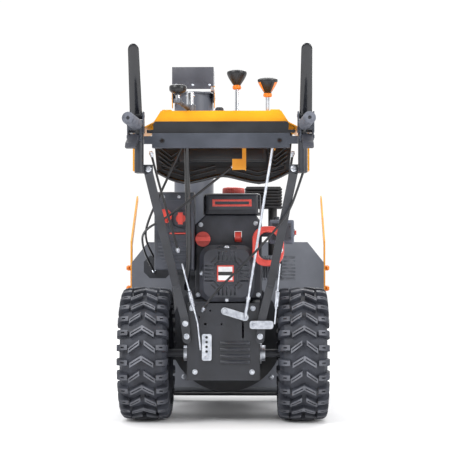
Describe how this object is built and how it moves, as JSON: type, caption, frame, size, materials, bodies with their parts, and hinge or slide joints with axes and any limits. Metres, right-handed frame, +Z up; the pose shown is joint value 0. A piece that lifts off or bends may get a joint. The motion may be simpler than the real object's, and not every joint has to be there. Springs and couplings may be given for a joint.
{
  "type": "two stage snowblower",
  "caption": "Walk-behind two stage snowblower with augers, impeller, turning chute with tilting deflector, engine, friction drive, treaded wheels and a handlebar dash with levers.",
  "frame": {"origin": "on the ground, below the middle of the machine's length and width", "axes": "+Y the way it drives, +X the operator's right, +Z up"},
  "size_m": [0.7, 1.388, 1.131],
  "materials": {
    "tyre_rubber": "moulded, worn",
    "rim_paint": "black enamel",
    "frame_paint": "black powder coat",
    "housing_paint": "dark grey powder coat",
    "auger_paint": "black enamel",
    "gearbox_cast": "cast, painted",
    "steel_zinc": "zinc plated",
    "engine_alloy": "die cast",
    "engine_plastic": "moulded, fine grain",
    "box_plastic": "moulded, fine grain",
    "tank_plastic": "moulded",
    "knob_red": "moulded",
    "panel_orange": "moulded",
    "metal_orange": "powder coat",
    "dash_black": "moulded",
    "paddle_black": "moulded",
    "bar_paint": "black powder coat",
    "bracket_grey": "powder coat",
    "grip_foam": "foam rubber",
    "belt_rubber": "fabric covered",
    "cable_black": "extruded sheath",
    "muffler_paint": "heat resistant black",
    "chute_paint": "grey powder coat",
    "deflector_dark": "moulded"
  },
  "bodies": {
    "chassis": {"frame_case": "frame_paint", "rear_cover": "frame_paint", "axle_bearings": "steel_zinc", "housing_shell": "housing_paint", "housing_sides": "housing_paint", "impeller_drum": "housing_paint", "scraper_bar": "housing_paint", "skid_shoes": "metal_orange", "gearbox_case": "gearbox_cast", "belts": "belt_rubber", "belt_cover": "engine_plastic", "engine_block": "engine_alloy", "engine_cowl": "engine_plastic", "recoil_cover": "engine_plastic", "fuel_tank": "tank_plastic", "muffler": "muffler_paint", "heater_box": "box_plastic", "switch_box": "box_plastic", "handlebar": "bar_paint", "grips": "grip_foam", "dash_crossbar": "bracket_grey", "dash_panel": "panel_orange", "dash_fairing": "dash_black", "control_bracket": "metal_orange", "control_cables": "cable_black", "fasteners": "steel_zinc"},
    "wheel_left": {"tyre_left": "tyre_rubber", "rim_left": "rim_paint"},
    "wheel_right": {"tyre_right": "tyre_rubber", "rim_right": "rim_paint"},
    "drive_disc": {"drive_disc": "engine_alloy"},
    "hex_shaft": {"hex_shaft": "steel_zinc"},
    "friction_wheel": {"friction_wheel": "belt_rubber"},
    "auger": {"augers": "auger_paint"},
    "impeller": {"impeller": "auger_paint"},
    "crankshaft": {"crankshaft": "steel_zinc"},
    "fuel_cap": {"fuel_cap": "knob_red"},
    "choke_knob": {"choke_knob": "knob_red"},
    "throttle_knob": {"throttle_knob": "knob_red"},
    "fuel_valve_knob": {"fuel_valve_knob": "knob_red"},
    "engine_switch": {"engine_switch": "knob_red"},
    "start_button": {"start_button": "knob_red"},
    "recoil_handle": {"recoil_handle": "knob_red"},
    "paddle_left": {"paddle_left": "paddle_black"},
    "paddle_right": {"paddle_right": "paddle_black"},
    "trigger_left": {"trigger_left": "dash_black"},
    "trigger_right": {"trigger_right": "dash_black"},
    "deflector_lever": {"deflector_lever": "steel_zinc"},
    "speed_lever": {"speed_lever": "steel_zinc"},
    "chute_crank": {"chute_crank": "bracket_grey"},
    "shift_arm": {"shift_arm": "steel_zinc"},
    "shift_rod": {"shift_rod": "steel_zinc"},
    "clutch_rod_left": {"clutch_rod_left": "steel_zinc"},
    "clutch_rod_right": {"clutch_rod_right": "steel_zinc"},
    "clutch_arm_left": {"clutch_arm_left": "steel_zinc"},
    "clutch_arm_right": {"clutch_arm_right": "steel_zinc"},
    "chute": {"chute_tube": "chute_paint"},
    "deflector": {"deflector": "deflector_dark"},
    "drift_cutter_left": {"drift_cutter_left": "metal_orange"},
    "drift_cutter_right": {"drift_cutter_right": "metal_orange"}
  },
  "joints": [
    {"name": "wheel_left_spin", "type": "hinge", "parent": "chassis", "child": "wheel_left", "pos_m": [-0.238, -0.09, 0.203], "axis": [1, 0, 0], "continuous": true},
    {"name": "wheel_right_spin", "type": "hinge", "parent": "chassis", "child": "wheel_right", "pos_m": [0.238, -0.09, 0.203], "axis": [1, 0, 0], "continuous": true},
    {"name": "drive_disc_spin", "type": "hinge", "parent": "chassis", "child": "drive_disc", "pos_m": [0, 0.06, 0.272], "axis": [0, 1, 0], "continuous": true},
    {"name": "hex_shaft_spin", "type": "hinge", "parent": "chassis", "child": "hex_shaft", "pos_m": [0, -0.036, 0.272], "axis": [1, 0, 0], "continuous": true},
    {"name": "friction_wheel_shift", "type": "slide", "parent": "hex_shaft", "child": "friction_wheel", "axis": [1, 0, 0], "range_m": [-0.023, 0.067]},
    {"name": "auger_spin", "type": "hinge", "parent": "chassis", "child": "auger", "pos_m": [0, 0.505, 0.19], "axis": [1, 0, 0], "continuous": true},
    {"name": "impeller_spin", "type": "hinge", "parent": "chassis", "child": "impeller", "pos_m": [0, 0.24, 0.245], "axis": [0, 1, 0], "continuous": true},
    {"name": "crankshaft_spin", "type": "hinge", "parent": "chassis", "child": "crankshaft", "pos_m": [0.01, 0, 0.456], "axis": [0, 1, 0], "continuous": true},
    {"name": "chute_turn", "type": "hinge", "parent": "chassis", "child": "chute", "pos_m": [-0.112, 0.236, 0.48], "axis": [0, 0, 1], "range_deg": [-95, 95]},
    {"name": "chute_crank_turn", "type": "hinge", "parent": "chassis", "child": "chute_crank", "pos_m": [-0.088, -0.43, 0.9], "axis": [0, 0, 1], "range_deg": [-345, 345]},
    {"name": "deflector_tilt", "type": "hinge", "parent": "chute", "child": "deflector", "pos_m": [-0.112, 0.216, 1.03], "axis": [-1, 0, 0], "range_deg": [0, 60]},
    {"name": "deflector_lever_tilt", "type": "hinge", "parent": "chassis", "child": "deflector_lever", "pos_m": [0.043, -0.4, 0.815], "axis": [1, 0, 0], "range_deg": [-1, 31]},
    {"name": "speed_lever_tilt", "type": "hinge", "parent": "chassis", "child": "speed_lever", "pos_m": [0.13, -0.4, 0.815], "axis": [1, 0, 0], "range_deg": [-27, 9]},
    {"name": "shift_rod_slide", "type": "slide", "parent": "chassis", "child": "shift_rod", "axis": [0, 0, 1], "range_m": [-0.0096, 0.0285]},
    {"name": "shift_arm_turn", "type": "hinge", "parent": "chassis", "child": "shift_arm", "pos_m": [0.004, -0.22, 0.337], "axis": [0, -1, 0], "range_deg": [-9.2, 27.2]},
    {"name": "paddle_left_squeeze", "type": "hinge", "parent": "chassis", "child": "paddle_left", "pos_m": [-0.234, -0.5, 0.885], "axis": [1, 0, 0], "range_deg": [0, 55], "stiffness_Nm_per_rad": 0.6, "springref_deg": -28.65},
    {"name": "paddle_right_squeeze", "type": "hinge", "parent": "chassis", "child": "paddle_right", "pos_m": [0.234, -0.5, 0.885], "axis": [1, 0, 0], "range_deg": [0, 55], "stiffness_Nm_per_rad": 0.6, "springref_deg": -28.65},
    {"name": "clutch_rod_left_pull", "type": "slide", "parent": "chassis", "child": "clutch_rod_left", "axis": [0, 0, 1], "range_m": [0, 0.0125]},
    {"name": "clutch_rod_right_pull", "type": "slide", "parent": "chassis", "child": "clutch_rod_right", "axis": [0, 0, 1], "range_m": [0, 0.0125]},
    {"name": "clutch_arm_left_turn", "type": "hinge", "parent": "chassis", "child": "clutch_arm_left", "pos_m": [-0.05, -0.22, 0.2], "axis": [0, 1, 0], "range_deg": [0, 12]},
    {"name": "clutch_arm_right_turn", "type": "hinge", "parent": "chassis", "child": "clutch_arm_right", "pos_m": [0.09, -0.238, 0.297], "axis": [0, -1, 0], "range_deg": [0, 12]},
    {"name": "trigger_left_pull", "type": "hinge", "parent": "chassis", "child": "trigger_left", "pos_m": [-0.235, -0.533, 0.824], "axis": [-1, 0, 0], "range_deg": [0, 16], "stiffness_Nm_per_rad": 0.4, "springref_deg": -28.65},
    {"name": "trigger_right_pull", "type": "hinge", "parent": "chassis", "child": "trigger_right", "pos_m": [0.235, -0.533, 0.824], "axis": [-1, 0, 0], "range_deg": [0, 16], "stiffness_Nm_per_rad": 0.4, "springref_deg": -28.65},
    {"name": "fuel_cap_lift", "type": "slide", "parent": "chassis", "child": "fuel_cap", "axis": [0, 0, 1], "range_m": [0, 0.04]},
    {"name": "choke_turn", "type": "hinge", "parent": "chassis", "child": "choke_knob", "pos_m": [-0.174, -0.23, 0.619], "axis": [0, 1, 0], "range_deg": [0, 90]},
    {"name": "throttle_turn", "type": "hinge", "parent": "chassis", "child": "throttle_knob", "pos_m": [-0.127, -0.23, 0.612], "axis": [0, 1, 0], "range_deg": [-40, 40]},
    {"name": "fuel_valve_turn", "type": "hinge", "parent": "chassis", "child": "fuel_valve_knob", "pos_m": [-0.063, -0.165, 0.552], "axis": [0, 1, 0], "range_deg": [0, 90]},
    {"name": "engine_switch_tip", "type": "hinge", "parent": "chassis", "child": "engine_switch", "pos_m": [0.043, -0.16, 0.559], "axis": [1, 0, 0], "range_deg": [-12, 12]},
    {"name": "start_press", "type": "slide", "parent": "chassis", "child": "start_button", "axis": [-1, 0, 0], "range_m": [0, 0.004], "stiffness_N_per_m": 300, "springref_m": -0.003},
    {"name": "recoil_pull", "type": "slide", "parent": "chassis", "child": "recoil_handle", "axis": [-0.6, -0.8, 0], "range_m": [0, 0.06], "stiffness_N_per_m": 60, "springref_m": -0.1},
    {"name": "drift_cutter_left_slide", "type": "slide", "parent": "chassis", "child": "drift_cutter_left", "axis": [0, 0, 1], "range_m": [-0.06, 0]},
    {"name": "drift_cutter_right_slide", "type": "slide", "parent": "chassis", "child": "drift_cutter_right", "axis": [0, 0, 1], "range_m": [-0.06, 0]}
  ],
  "couplings": [
    {"joint": "impeller_spin", "follows": "auger_spin", "ratio": 10},
    {"joint": "chute_crank_turn", "follows": "chute_turn", "ratio": 3.6},
    {"joint": "deflector_lever_tilt", "follows": "deflector_tilt", "ratio": 0.5},
    {"joint": "friction_wheel_shift", "follows": "speed_lever_tilt", "m_per_rad": -0.14},
    {"joint": "shift_rod_slide", "follows": "speed_lever_tilt", "m_per_rad": -0.06},
    {"joint": "shift_arm_turn", "follows": "speed_lever_tilt", "ratio": -1},
    {"joint": "clutch_rod_left_pull", "follows": "paddle_left_squeeze", "m_per_rad": 0.0128},
    {"joint": "clutch_rod_right_pull", "follows": "paddle_right_squeeze", "m_per_rad": 0.0128},
    {"joint": "clutch_arm_left_turn", "follows": "paddle_left_squeeze", "ratio": 0.2},
    {"joint": "clutch_arm_right_turn", "follows": "paddle_right_squeeze", "ratio": 0.2}
  ]
}
